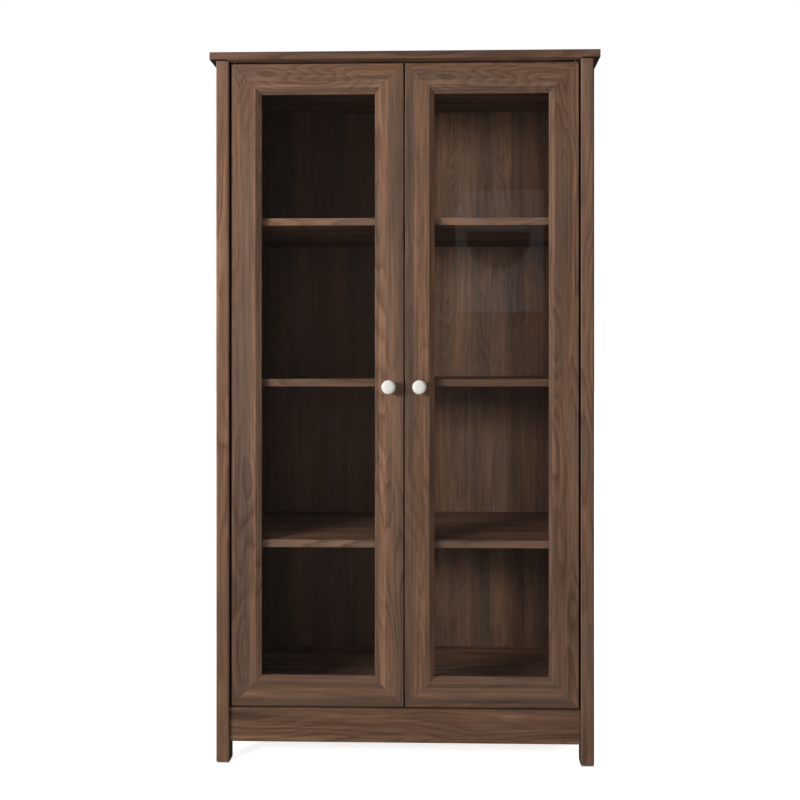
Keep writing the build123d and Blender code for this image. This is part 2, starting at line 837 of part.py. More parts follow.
def save_carcass_hardware():
    save("carcass_dowels", *[dowel(*place) for place in carcass_dowel_places()])
    save("cam_bolts", *[cam_bolt(*place) for place in cam_places])
    save("cam_locks", *[cam_lock(*place) for place in cam_places])
    save("cleat_screws", *[screw(*place, long_screw_length) for place in cleat_screw_places()])
    save("back_panel_screws", *[screw(*place, long_screw_length) for place in back_screw_places])
    save("leg_glides", *[glide(sign, y) for sign in sides.values() for y in post_middles_y])
    for name, sign in sides.items():
        for end, (face, inward) in carcass_plate_faces.items():
            plate = pivot_plate(sign, face, inward, pivot_pin_radius + hole_clearance)
            save(f"{end}_pivot_plate_{name}", plate)
    pins = [pivot_pin(sign, end) for sign in sides.values() for end in carcass_plate_faces]
    save("pivot_pins", *pins)
    save("pivot_washers", *[bearing_washer(sign) for sign in sides.values()])
    screws = [s for sign in sides.values() for s in plate_screws(sign, carcass_plate_faces)]
    save("pivot_plate_screws", *[screw(*place) for place in screws])
    save("catch_housing", catch_housing())
    save("catch_magnets", *[magnet_box(sign) for sign in sides.values()])
    save("catch_screws", *[screw(*place, long_screw_length) for place in catch_screw_places()])


os.makedirs("parts", exist_ok=True)
save_carcass()
save_carcass_hardware()
for door_name in sides:
    save_door(door_name)
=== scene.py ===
"""China cabinet with two glazed doors: its finishes, small fittings, camera and studio.

The cabinet's solids are loaded as they are, in metres, standing on the floor and facing -Y. Every
finish here is a node tree that reads Object coordinates, so a board's figure stays in the board.
"""

import json
import math

import bpy
from bpy.props import FloatProperty, FloatVectorProperty, IntProperty, PointerProperty
from mathutils import Matrix, Vector


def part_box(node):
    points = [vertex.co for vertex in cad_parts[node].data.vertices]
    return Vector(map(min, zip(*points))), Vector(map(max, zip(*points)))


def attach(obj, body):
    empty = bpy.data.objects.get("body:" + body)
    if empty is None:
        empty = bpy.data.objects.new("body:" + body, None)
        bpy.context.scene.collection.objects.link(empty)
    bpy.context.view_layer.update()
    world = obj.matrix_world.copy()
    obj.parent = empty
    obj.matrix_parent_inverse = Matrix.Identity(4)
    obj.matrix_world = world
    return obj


bl_info = {
    "name": "Glazed china cabinet",
    "version": (1, 0, 0),
    "blender": (4, 5, 0),
    "location": "View3D > Sidebar > Cabinet",
    "description": "Finishes, fittings, camera and studio of a walnut cabinet with glass doors",
    "category": "Object",
}

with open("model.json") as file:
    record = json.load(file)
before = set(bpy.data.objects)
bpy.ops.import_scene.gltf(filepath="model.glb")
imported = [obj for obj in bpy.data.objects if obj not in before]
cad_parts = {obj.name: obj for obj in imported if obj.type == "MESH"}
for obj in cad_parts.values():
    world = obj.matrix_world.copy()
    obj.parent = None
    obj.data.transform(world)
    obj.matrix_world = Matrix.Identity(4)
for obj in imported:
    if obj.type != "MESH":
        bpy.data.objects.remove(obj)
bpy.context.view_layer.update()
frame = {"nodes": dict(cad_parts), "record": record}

MM = 0.001


def corner(node, which):
    """A CAD node's lowest (0) or highest (1) corner."""
    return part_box(node)[which]


# --- Settings ------------------------------------------------------------------------------


def colour(name, description, value):
    return FloatVectorProperty(
        name=name, description=description, default=value, subtype="COLOR", size=3, min=0, max=1
    )


def length(name, description, value, low=0.0):
    return FloatProperty(
        name=name, description=description, default=value, min=low, unit="LENGTH", precision=5
    )


def share(name, description, value, high=1.0):
    return FloatProperty(
        name=name, description=description, default=value, min=0, max=high, subtype="FACTOR"
    )


class WalnutSettings(bpy.types.PropertyGroup):
    """Tones and grain of the walnut veneer."""

    grey: colour("Grey walnut", "Coolest tone of the staves", (0.147, 0.099, 0.077))
    brown: colour("Brown walnut", "Middle tone of the staves", (0.166, 0.095, 0.0625))
    red: colour("Red walnut", "Tone between brown and amber", (0.177, 0.093, 0.0565))
    amber: colour("Amber walnut", "Warmest tone of the staves", (0.222, 0.119, 0.066))
    vein: colour("Vein", "Dark lines of the late wood", (0.044, 0.018, 0.010))
    figure_width: length("Figure width", "Across the grain, size of one arch of the figure", 0.070)
    figure_length: length("Figure length", "Along the grain, size of one arch", 0.42)
    vein_count: FloatProperty(
        name="Veins", description="Dark lines from one edge of an arch to its middle", default=7, min=1
    )
    vein_strength: share("Vein strength", "How dark the late wood is", 0.68)
    fibre_width: length("Fibre width", "Width of the fine streaks", 0.0058)
    fibre_strength: share("Fibre strength", "Contrast of the fine streaks", 1.25, high=2.0)
    pore_depth: length("Pore depth", "Height of the bump that the pores make", 0.00012)
    roughness: share("Roughness", "Sheen of the lacquer: satin", 0.50)


class GlassSettings(bpy.types.PropertyGroup):
    """The clear panes."""

    tint: colour("Tint", "Colour of the light that a pane passes", (0.982, 0.986, 0.982))
    ior: FloatProperty(name="IOR", description="Refractive index", default=1.45, min=1, max=2)


class KnobSettings(bpy.types.PropertyGroup):
    """The white glazed knobs."""

    glaze: colour("Glaze", "Colour of the glaze", (0.87, 0.84, 0.795))
    crackle: length("Crackle", "Size of the faint unevenness of the glaze", 0.004)
    roughness: share("Roughness", "Roughness under the clear glaze", 0.28)


class FittingSettings(bpy.types.PropertyGroup):
    """Small metal parts."""

    steel: colour("Steel", "Colour of the plated steel", (0.45, 0.45, 0.44))
    sleeve_hole: length("Sleeve bore", "Inner radius of a shelf-hole sleeve", 0.00255)
    sleeve_flange: length("Sleeve flange", "Width of a sleeve's flange", 0.0011)
    sleeve_height: length("Sleeve height", "How far a flange stands proud", 0.0005)
    hole_pitch: length("Hole pitch", "Distance between shelf holes", 0.032)
    holes_each_way: IntProperty(
        name="Holes each way", description="Free holes above and below each shelf pin", default=2, min=0
    )
    pin_inset: length("Pin inset", "From the shelf's front or back edge to its pins", 0.037)
    pin_below: length("Pin below", "From a shelf's underside down to its pins' centres", 0.0045)
    cap_radius: length("Cap radius", "Radius of a cap over a wall-fixing hole", 0.0045)
    cap_height: length("Cap height", "How far a cap stands proud of the back panel", 0.0012)
    cap_stem: length("Cap stem", "How deep a cap's stem goes into its hole", 0.010)
    brad_spacing: length("Brad spacing", "Distance between the beads' brads", 0.14, 0.02)
    brad_radius: length("Brad radius", "Radius of a brad's head", 0.0011)


class StudioSettings(bpy.types.PropertyGroup):
    """Camera, lamps and surroundings."""

    eye: FloatVectorProperty(
        name="Camera", description="Where the camera stands", default=(0.114, -1.963, 0.960), size=3,
        subtype="TRANSLATION", unit="LENGTH",
    )
    turn: FloatProperty(
        name="Turn", description="The camera's turn to the left", default=math.radians(1.15),
        subtype="ANGLE", unit="ROTATION",
    )
    lens: FloatProperty(name="Lens", description="Focal length, millimetres", default=33.655, min=1)
    shift: FloatVectorProperty(
        name="Shift", description="The lens's shift, sideways and up", default=(-0.0465, -0.04965),
        size=2, precision=5,
    )
    key: FloatProperty(name="Key lamp", description="Watts", default=124, min=0)
    rear: FloatProperty(name="Rear lamp", description="Watts", default=45, min=0)
    air: share("Room light", "Brightness of the room around", 0.41)
    floor: colour("Floor", "Colour of the floor", (0.80, 0.79, 0.78))
    floor_glow: share("Floor whiteness", "Whiteness of the floor to the camera", 0.82)


GROUPS = {
    "cabinet_walnut": WalnutSettings,
    "cabinet_glass": GlassSettings,
    "cabinet_knobs": KnobSettings,
    "cabinet_fittings": FittingSettings,
    "cabinet_studio": StudioSettings,
}


def placed(name, data):
    """A new object in the scene."""
    thing = bpy.data.objects.new(name, data)
    bpy.context.scene.collection.objects.link(thing)
    return thing


# --- Node trees ----------------------------------------------------------------------------


class Value:
    """A socket that arithmetic works on: every operation adds one Math node."""

    def __init__(self, tree, socket):
        self.tree, self.socket = tree, socket

    def math(self, operation, *others, first=None, clamp=False):
        node = self.tree.nodes.new("ShaderNodeMath")
        node.operation, node.use_clamp = operation, clamp
        terms = [self if first is None else first, *others]
        for socket, term in zip(node.inputs, terms):
            link(self.tree, term, socket)
        return Value(self.tree, node.outputs[0])

    def __add__(self, other):
        return self.math("ADD", other)

    __radd__ = __add__

    def __sub__(self, other):
        return self.math("SUBTRACT", other)

    def __rsub__(self, other):
        return self.math("SUBTRACT", self, first=other)

    def __mul__(self, other):
        return self.math("MULTIPLY", other)

    __rmul__ = __mul__

    def __truediv__(self, other):
        return self.math("DIVIDE", other)

    def __rtruediv__(self, other):
        return self.math("DIVIDE", self, first=other)

    def __pow__(self, other):
        return self.math("POWER", other)

    def __rpow__(self, other):
        return self.math("POWER", self, first=other)

    def __abs__(self):
        return self.math("ABSOLUTE")

    def fraction(self):
        return self.math("FRACT")

    def lesser(self, other):
        return self.math("MINIMUM", other)

    def greater(self, other):
        return self.math("MAXIMUM", other)

    def clamped(self):
        return self.math("ADD", 0.0, clamp=True)

    def rise(self, low, high):
        """0 below low, 1 above high and a straight rise between them."""
        return self.math("MULTIPLY_ADD", 1 / (high - low), -low / (high - low), clamp=True)


def link(tree, term, socket):
    """Links a value, a socket or a plain number or colour to an input, or a list of them."""
    if isinstance(term, list):
        for one in term:
            link(tree, one, socket)
        return
    if isinstance(term, Value):
        term = term.socket
    if isinstance(term, bpy.types.NodeSocket):
        tree.links.new(term, socket)
    elif hasattr(term, "__len__") and socket.type == "RGBA" and len(term) == 3:
        socket.default_value = (*term, 1.0)
    else:
        socket.default_value = term


class Tree:
    """A node tree under construction."""

    def __init__(self, tree):
        self.tree = tree

    def add(self, kind, settings=None, sockets=None, output=0):
        """One node: its settings are set first, then its sockets. Gives the output asked for."""
        node = self.tree.nodes.new(kind)
        for name, setting in (settings or {}).items():
            if name == "stops":
                self.set_stops(node.color_ramp, setting)
            elif name == "interpolation":
                node.color_ramp.interpolation = setting
            else:
                setattr(node, name, setting)
        for name, term in (sockets or {}).items():
            link(self.tree, term, node.inputs[name])
        return Value(self.tree, node.outputs[output]) if len(node.outputs) else None

    def beside(self, value):
        """All the outputs of the node that a value comes from, by their names."""
        return {socket.name: Value(self.tree, socket) for socket in value.socket.node.outputs}

    @staticmethod
    def set_stops(ramp, stops):
        while len(ramp.elements) < len(stops):
            ramp.elements.new(1.0)
        for element, (place, tone) in zip(ramp.elements, stops):
            element.position = place
            element.color = (*tone, 1.0)


class Finish(Tree):
    """A material."""

    def __init__(self, name):
        self.material = bpy.data.materials.new(name)
        self.material.use_nodes = True
        super().__init__(self.material.node_tree)
        self.tree.nodes.clear()

    def object_place(self):
        return self.add("ShaderNodeTexCoord", output="Object")

    def parts(self, vector):
        """The three values of a vector."""
        return list(self.beside(self.add("ShaderNodeSeparateXYZ", {}, {0: vector})).values())

    def moved(self, vector, by):
        return self.add("ShaderNodeVectorMath", {"operation": "ADD"}, {0: vector, 1: by})

    def noise(self, vector, bumps, detail, roughness=0.5):
        """Noise with so many bumps a metre: one number, or one each along X, Y and Z."""
        if not isinstance(bumps, tuple):
            bumps = (bumps,) * 3
        place = self.add("ShaderNodeVectorMath", {"operation": "MULTIPLY"}, {0: vector, 1: bumps})
        sockets = {"Vector": place, "Scale": 1.0, "Detail": detail, "Roughness": roughness}
        return self.add("ShaderNodeTexNoise", {"noise_dimensions": "3D"}, sockets)

    def mix(self, factor, first, second):
        """From the first colour at 0 to the second at 1."""
        settings = {"data_type": "RGBA", "blend_type": "MIX", "clamp_factor": True}
        return self.add("ShaderNodeMix", settings, {0: factor, 6: first, 7: second}, output=2)

    def ramp(self, stops, at):
        """The three values of a ramp of (place, three values) at a place."""
        settings = {"interpolation": "EASE", "stops": stops}
        return self.parts(self.add("ShaderNodeValToRGB", settings, {"Fac": at}))

    def shaded(self, tone, by):
        """A colour times a value."""
        return self.add("ShaderNodeVectorMath", {"operation": "SCALE"}, {"Vector": tone, "Scale": by})

    def bump(self, height, distance, strength):
        sockets = {"Height": height, "Distance": distance, "Strength": strength}
        return self.add("ShaderNodeBump", {}, sockets)

    def surface(self, **sockets):
        """The Principled shader; a socket's name is written with _ for its spaces."""
        named = {name.replace("_", " "): term for name, term in sockets.items()}
        return self.add("ShaderNodeBsdfPrincipled", {}, named)

    def done(self, shader):
        self.add("ShaderNodeOutputMaterial", {}, {"Surface": shader})
        return self.material


def dress(material, *nodes):
    """Gives CAD nodes their finish."""
    for name in nodes:
        node = frame["nodes"][name]
        if not node.material_slots:
            node.data.materials.append(material)
        for slot in node.material_slots:
            slot.material = material


# --- Walnut --------------------------------------------------------------------------------

# from the middle of the cabinet to the inner faces of its front posts
POST_INNER_X = corner("front_post_right", 0).x

# the layers of the pattern: bumps in a metre across the grain, through the board and along it
WANDER, RIPPLE, FADE = (4, 4, 1.5), (110, 110, 14), (14, 14, 2.2)
PORES, CLOUDS, STREAKS = (1500, 1500, 70), (11, 11, 2.0), (55, 55, 2.4)
FIBRE_STRETCH = 36

# the warmth of a board whose warm is 0, and how far its staves differ in warmth, light and figure
MIDDLE_WARMTH = 0.42
STAVE_WARMTH, STAVE_LIGHT, STAVE_JUMP = 0.55, 0.5, 7.0

# how much darker the mitres and the pores are than the wood round them
MITRE_DARK = PORE_DARK = 0.22

# how much rougher than the lacquer the undersides and the posts' inner faces are
ROUGHER_UNDERSIDE, ROUGHER_POST = 0.45, 0.5

AXES = {"X": Vector((1, 0, 0)), "Y": Vector((0, 1, 0)), "Z": Vector((0, 0, 1))}


def board_turn(grain, face):
    """The turn that lays a board's width along X, its thickness along Y and its grain along Z."""
    width = next(axis for name, axis in AXES.items() if name not in (grain, face))
    rows = [width, AXES[face], AXES[grain]]
    if Matrix(rows).determinant() < 0:
        rows[1] = -rows[1]
    return Matrix(rows).to_euler("XYZ")


class Board:
    """How one walnut piece is cut.

    grain and face are the axes that its grain runs along and its face looks along. start moves
    the piece about in the tree. stave is the width of the glued staves. warm shifts its tone, from
    -1, grey, to 1, amber; light is its brightness, partly its own tone and partly painted light and
    shade. stripes are (place across from 0 to 1, warm, light, grain) over the width given by span,
    where grain is how strong the fibres show, and wobble is how far they wander; their light is
    partly tone bands and partly painted shade and highlights. along is (place, light) from its low
    end to its high one, painted light and shade along the piece. under is the brightness of its
    underside, inside the case and beyond the posts: painted light and shade there.
    """

    def __init__(self, grain, face, start, stave=0.045, staves=0.5, warm=0.0, light=1.0,
                 figure=1.0, span=None, stripes=None, vein=1.0, under=None,
                 wobble=0.10, along=None):
        self.grain, self.face, self.start = grain, face, start
        self.stave, self.staves, self.warm, self.light = stave, staves, warm, light
        self.figure, self.span, self.stripes, self.vein = figure, span, stripes, vein
        self.under, self.wobble, self.along = under, wobble, along


def walnut(node, board, settings, mitres=None):
    """Walnut veneer: staves of different tone, arched figure, fine fibres and open pores, and the
    painted light and shade that its board gives.
    """
    finish = Finish(f"walnut_{node}")
    sockets = {
        "Vector": finish.object_place(), "Rotation": board_turn(board.grain, board.face),
    }
    place = finish.add("ShaderNodeMapping", {"vector_type": "POINT"}, sockets)
    across, _, _ = finish.parts(place)
    shifted = finish.moved(place, board.start)

    # the staves, each with its own tone and its own part of the figure
    wander = finish.noise(shifted, WANDER, detail=1)
    stave_place = finish.parts(shifted)[0] / board.stave + wander * 0.5
    stave = finish.add(
        "ShaderNodeTexVoronoi", {"voronoi_dimensions": "1D", "feature": "F1"},
        {"W": stave_place, "Scale": 1.0}, output="Color",
    )
    stave_tone, stave_jump, stave_light = finish.parts(stave)
    jump = finish.add("ShaderNodeCombineXYZ", {}, {2: stave_jump * (STAVE_JUMP * board.staves)})
    cut = finish.moved(shifted, jump)

    # the arched figure: contour lines of a slow noise, dark at the end of each year
    width, long = settings.figure_width * board.figure, settings.figure_length * board.figure
    slow = finish.noise(cut, (1 / width, 1 / width, 1 / long), detail=1.5, roughness=0.4)
    ripple = finish.noise(cut, RIPPLE, detail=2)
    year = (slow * settings.vein_count * 2 + ripple * 0.50).fraction()
    vein = (year ** 1.7).lesser((1 - year) * 4)
    fade = finish.noise(cut, FADE, detail=1).rise(0.34, 0.58)

    # fibres and pores
    fine = 1 / settings.fibre_width
    fibre = finish.noise(shifted, (fine, fine, fine / FIBRE_STRETCH), detail=3, roughness=0.8)
    pore = finish.noise(shifted, PORES, detail=1).rise(0.60, 0.70)
    cloud = finish.noise(cut, CLOUDS, detail=2)
    streak = finish.noise(cut, STREAKS, detail=2, roughness=0.6)

    # warmth runs from grey to amber, light multiplies the tone and carries the painted light and shade,
    # grain is how strong the fibres show
    warmth = MIDDLE_WARMTH + 0.5 * board.warm + (stave_tone - 0.5) * (STAVE_WARMTH * board.staves)
    light = board.light * (1 + (stave_light - 0.5) * (STAVE_LIGHT * board.staves))
    grain = 1.0
    # stripes across the piece: tone bands, and painted shade and highlights near its edges
    if board.stripes:
        stops = [(at, (0.5 + warm / 2, lit / 2, show / 2)) for at, warm, lit, show in board.stripes]
        at = across.rise(*board.span) + (cloud - 0.5) * board.wobble
        stripe_warm, stripe_light, stripe_grain = finish.ramp(stops, at)
        warmth = warmth + (stripe_warm - 0.5)
        light = light * (stripe_light * 2)
        grain = stripe_grain * 2
    # painted light and shade along the piece
    if board.along:
        stops = [(at, (lit / 2, 0.0, 0.0)) for at, lit in board.along]
        ends = [corner(node, end)["XYZ".index(board.grain)] for end in (0, 1)]
        at = finish.parts(finish.object_place())["XYZ".index(board.grain)].rise(*ends)
        light = light * (finish.ramp(stops, at)[0] * 2)
    warmth = warmth + (slow - 0.5) * 0.7 + (fibre - 0.5) * 0.7 + (streak - 0.5) * 1.0
    light = light * (1 + (cloud - 0.5) * 0.6 + (fibre - 0.5) * grain * settings.fibre_strength)
    light = light * (1.04 + (streak - 0.5) * grain)

    stops = [
        (0.0, settings.grey), (0.40, settings.brown), (0.65, settings.red), (1.0, settings.amber),
    ]
    tone = finish.add("ShaderNodeValToRGB", {"stops": stops}, {"Fac": warmth.clamped()})
    dark = vein * fade * grain * (settings.vein_strength * board.vein)
    tone = finish.mix(dark, tone, settings.vein)
    light = light * (1 - pore * PORE_DARK)
    rougher = 0.0
    # painted light on the underside inside the case, and painted shade on it beyond the posts
    if board.under:
        x, _, z = finish.parts(finish.object_place())
        below = 1 - (z - corner(node, 0).z).rise(0.2 * MM, 0.6 * MM)
        beyond = abs(x).rise(POST_INNER_X, POST_INNER_X + 4 * MM)
        lit = beyond * (board.under[1] - board.under[0]) + board.under[0]
        light = light * (1 + below * (lit - 1))
        rougher = below * ROUGHER_UNDERSIDE
    if "front_post" in node:
        x, _, _ = finish.parts(finish.object_place())
        outside = abs(x).rise(POST_INNER_X + 0.1 * MM, POST_INNER_X + 0.5 * MM)
        rougher = (1 - outside) * ROUGHER_POST
    if mitres:
        light = light * (1 - mitre_line(finish, mitres) * MITRE_DARK)
    tone = finish.shaded(tone, light)
    roughness = vein * 0.06 + pore * 0.12 + (cloud - 0.5) * 0.10 + settings.roughness + rougher
    height = (1 - pore) * 0.8 + (1 - vein) * 0.2
    normal = finish.bump(height, settings.pore_depth, 0.6)
    shader = finish.surface(Base_Color=tone, Roughness=roughness, Normal=normal, Specular_IOR_Level=0.20)
    return finish.done(shader)


def mitre_line(finish, box):
    """1 on the four mitred joints of a door frame that spans the box, 0 elsewhere."""
    (x0, _, z0), (x1, _, z1) = box
    x, _, z = finish.parts(finish.object_place())
    from_side = (x - x0).lesser(x1 - x)
    from_end = (z - z0).lesser(z1 - z)
    return 1 - abs(from_side - from_end).rise(0.25 * MM, 0.9 * MM)


def door_box(side):
    """The corners of one door's frame."""
    return corner(f"{side}_door_bottom_rail", 0), corner(f"{side}_door_top_rail", 1)


# bands of the back panel, from its left edge (0) to its right one (1): place, warmth, light, grain;
# partly the veneer's strips and partly painted shade, darkest on the left half where the left bays lie
# in shadow
BACK_SPAN = (corner("back_panel", 0).x, corner("back_panel", 1).x)
BACK_BANDS_AND_PAINTED_SHADE = [
    (0.00, -0.25, 0.74, 0.4), (0.08, -0.25, 0.84, 0.4), (0.12, -0.1, 0.98, 0.4),
    (0.16, -0.25, 0.87, 0.4), (0.20, -0.25, 0.84, 0.4), (0.24, 0.0, 0.95, 0.4),
    (0.29, -0.15, 0.88, 0.4), (0.38, -0.15, 0.92, 0.4), (0.46, 0.1, 1.1, 0.8),
    (0.47, -0.2, 0.9, 1.0), (0.57, -0.1, 0.92, 1.0), (0.59, 0.05, 1.06, 1.0),
    (0.69, 0.05, 1.08, 1.0), (0.71, -0.3, 0.86, 1.0), (0.75, -0.3, 0.86, 1.0),
    (0.77, -0.15, 0.98, 1.0), (0.80, 0.0, 1.14, 1.0), (0.83, -0.1, 1.0, 1.0),
    (0.845, -0.35, 0.80, 1.0), (0.87, -0.35, 0.80, 1.0), (0.885, 0.0, 1.08, 1.0),
    (0.92, 0.0, 1.06, 1.0), (0.935, -0.15, 0.92, 1.0), (1.0, -0.15, 0.92, 1.0),
]

# painted light and shade along the shelves, from the left end to the right: lighter to the left, darker
# to the right
SHELF_PAINTED_LIGHT = [(0.3, 1.06), (0.6, 0.92)]

# across the front posts: painted shade on their inner faces and on the outer arris of the right one,
# where the light from the left doesn't reach
LEFT_POST_SPAN = (corner("front_post_left", 0).x, corner("front_post_left", 1).x)
LEFT_POST_PAINTED_SHADE = [(0.0, 0.0, 1.0, 1.0), (0.98, 0.0, 1.0, 1.0), (0.999, 0.0, 0.12, 1.0)]
RIGHT_POST_SPAN = (corner("front_post_right", 0).x, corner("front_post_right", 1).x)
RIGHT_POST_PAINTED_SHADE = [
    (0.0, 0.0, 0.12, 1.0), (0.02, 0.0, 1.0, 1.0), (0.87, 0.0, 1.0, 1.0), (0.92, 0.0, 0.30, 1.0),
    (0.95, 0.0, 0.10, 1.0), (0.99, 0.0, 0.10, 1.0), (0.999, 0.0, 1.0, 1.0),
]

# light, along and under here are partly painted light and shade: the front posts darken towards their
# feet, and the shelves, inner panels and top panel are lightened or darkened to stand in for the light
# that falls on them
CARCASS_BOARDS = {
    "top_panel": Board(
        "X", "Z", (3.1, 0.2, 1.7), stave=0.09, light=0.77, warm=-0.15, figure=1.5, under=(1.75, 0.2),
        along=[(0.1, 0.97), (0.4, 0.98), (0.7, 1.05), (0.9, 1.06)],
    ),
    "front_post_left": Board(
        "Z", "Y", (1.3, 4.2, 0.4), staves=0.2, warm=0.48,
        wobble=0.0, span=LEFT_POST_SPAN, stripes=LEFT_POST_PAINTED_SHADE,
        along=[(0.02, 0.74), (0.10, 0.94), (0.25, 1.08), (0.55, 1.37), (0.75, 1.15), (0.9, 0.97)],
    ),
    "front_post_right": Board(
        "Z", "Y", (6.1, 0.9, 2.4), staves=0.2, warm=0.15, light=1.12, wobble=0.0,
        span=RIGHT_POST_SPAN, stripes=RIGHT_POST_PAINTED_SHADE,
        along=[(0.02, 0.76), (0.10, 0.95), (0.3, 1.01), (0.55, 1.10), (0.9, 1.01)],
    ),
    "rear_post_left": Board("Z", "Y", (2.6, 7.7, 0.9), staves=0.3),
    "rear_post_right": Board("Z", "Y", (8.8, 5.1, 3.3), staves=0.3),
    "side_panel_left": Board("Z", "X", (4.4, 1.6, 5.2), stave=0.075, staves=0.6),
    "side_panel_right": Board("Z", "X", (9.9, 3.6, 1.1), stave=0.075, staves=0.6),
    "front_apron": Board("X", "Y", (5.7, 2.3, 4.9), staves=0.1, warm=0.45, figure=1.1, light=0.93),
    "rear_bottom_rail": Board("X", "Y", (7.3, 6.6, 2.2), staves=0.2),
    "rear_top_rail": Board("X", "Y", (1.9, 8.3, 6.1), staves=0.2),
    "floor_panel": Board(
        "X", "Z", (0.7, 9.2, 3.8), stave=0.06, warm=0.09, light=1.36, figure=1.6, vein=1.4,
    ),
    "back_panel": Board(
        "Z", "Y", (2.2, 3.3, 8.1), stave=0.06, staves=0.35, warm=0.09, light=1.28, vein=0.6, figure=0.8,
        span=BACK_SPAN, stripes=BACK_BANDS_AND_PAINTED_SHADE, wobble=0.008,
    ),
    "shelf_upper": Board(
        "X", "Z", (6.6, 7.1, 0.3), stave=0.06, light=1.48, under=(0.66, 1), along=SHELF_PAINTED_LIGHT,
    ),
    "shelf_middle": Board("X", "Z", (3.9, 5.5, 7.4), stave=0.06, light=1.15, along=SHELF_PAINTED_LIGHT),
    "shelf_lower": Board(
        "X", "Z", (8.1, 1.2, 9.3), stave=0.06, light=1.34, figure=1.6, vein=1.4, along=SHELF_PAINTED_LIGHT,
    ),
    "floor_cleat_left": Board("Y", "X", (1.1, 1.1, 0.6), staves=0.2),
    "floor_cleat_right": Board("Y", "X", (4.1, 2.1, 3.6), staves=0.2),
    "floor_cleat_front": Board("X", "Y", (5.1, 0.1, 1.6), staves=0.2),
}

# across each member, from the door's outer edge (0) to its opening (1): place, warmth, light; the light
# is partly tone bands and partly painted highlights and shade at the edges and next to the bevel
GREY_MIDDLE = [
    (0.0, 0.0, 1.32), (0.05, 0.05, 1.10), (0.14, 0.1, 0.82), (0.36, -0.25, 0.86), (0.58, -0.15, 0.84),
    (0.78, 0.05, 1.06), (0.86, 0.05, 1.52),
]
AMBER_INSIDE = [
    (0.0, -0.2, 0.68), (0.22, -0.15, 0.90), (0.45, 0.05, 1.02), (0.68, 0.35, 1.38), (0.80, 0.3, 1.30),
    (0.84, 0.1, 0.83),
]
AMBER_MIDDLE = [
    (0.0, -0.3, 0.90), (0.26, -0.25, 0.86), (0.33, 0.45, 1.08), (0.62, 0.5, 1.02), (0.80, 0.3, 1.0),
]
RED_OUTSIDE = [
    (0.0, 0.1, 1.12), (0.18, 0.25, 0.94), (0.50, 0.1, 0.82), (0.74, 0.2, 0.80), (0.84, -0.1, 0.86),
]
DARK_OUTSIDE = [
    (0.0, -0.1, 0.64), (0.18, 0.0, 0.76), (0.42, 0.3, 1.20), (0.60, 0.2, 0.98), (0.76, 0.1, 0.76),
    (0.85, 0.1, 1.03),
]
WARM_OUTSIDE = [
    (0.0, 0.3, 0.84), (0.30, 0.25, 0.82), (0.52, 0.1, 0.84), (0.66, 0.15, 1.0), (0.77, -0.05, 1.14),
    (0.86, -0.2, 0.87),
]

# the stiles' along is painted light and shade up and down the doors
DOOR_BOARDS = {
    "left_door_hinge_stile": (
        Board("Z", "Y", (1.7, 0.6, 2.9), staves=0.15, warm=-0.04,
              along=[(0.1, 0.98), (0.5, 1.08), (0.9, 1.09)]), GREY_MIDDLE,
    ),
    "left_door_meeting_stile": (
        Board("Z", "Y", (5.2, 3.9, 6.3), staves=0.15,
              along=[(0.05, 1.17), (0.3, 1.12), (0.5, 1.07), (0.9, 1.0)]), AMBER_INSIDE,
    ),
    "left_door_top_rail": (
        Board("X", "Y", (7.4, 2.4, 0.2), staves=0.1, figure=0.7, vein=0.85, light=1.09), WARM_OUTSIDE,
    ),
    "left_door_bottom_rail": (
        Board("X", "Y", (0.4, 6.2, 3.1), staves=0.1, figure=1.4, vein=0.6), DARK_OUTSIDE,
    ),
    "right_door_hinge_stile": (Board("Z", "Y", (3.6, 8.8, 1.9), staves=0.15, light=1.04), RED_OUTSIDE),
    "right_door_meeting_stile": (
        Board("Z", "Y", (9.1, 2.7, 5.6), staves=0.15, vein=0.6,
              along=[(0.05, 0.90), (0.3, 0.93), (0.5, 1.06), (0.9, 0.96)]), AMBER_MIDDLE,
    ),
    "right_door_top_rail": (
        Board("X", "Y", (7.41, 2.4, -0.23), staves=0.1, figure=0.7, vein=0.85, light=1.06), WARM_OUTSIDE,
    ),
    "right_door_bottom_rail": (
        Board("X", "Y", (6.1, 9.9, 4.9), staves=0.1, figure=1.4, vein=0.6), DARK_OUTSIDE,
    ),
}

BEAD_BOARDS = {
    "left_door_glazing_beads": Board("Z", "Y", (4.7, 5.8, 0.2), staves=0.1, light=0.9),
    "right_door_glazing_beads": Board("Z", "Y", (8.4, 0.3, 6.9), staves=0.1, light=0.9),
}


def member_span(name, grain):
    """Where a stile or rail starts, at its outer edge, and ends, along its width."""
    low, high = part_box(name)
    if grain == "Z":
        ends = (low.x, high.x)
        outer_first = name in ("left_door_hinge_stile", "right_door_meeting_stile")
    else:
        ends = (low.z, high.z)
        outer_first = "bottom" in name
    return ends if outer_first else ends[::-1]


class CABINET_OT_walnut(bpy.types.Operator):
    """Gives each wooden piece walnut cut from its own part of the tree"""

    bl_idname = "cabinet.walnut"
    bl_label = "Walnut"

    def execute(self, context):
        settings = context.scene.cabinet_walnut
        for name, board in {**CARCASS_BOARDS, **BEAD_BOARDS}.items():
            dress(walnut(name, board, settings), name)
        for name, (board, stripes) in DOOR_BOARDS.items():
            side = name.split("_")[0]
            board.stripes = [(at, warm, lit, 1.0) for at, warm, lit in stripes]
            board.span = member_span(name, board.grain)
            dress(walnut(name, board, settings, door_box(side)), name)
        return {"FINISHED"}


# --- Other finishes ------------------------------------------------------------------------


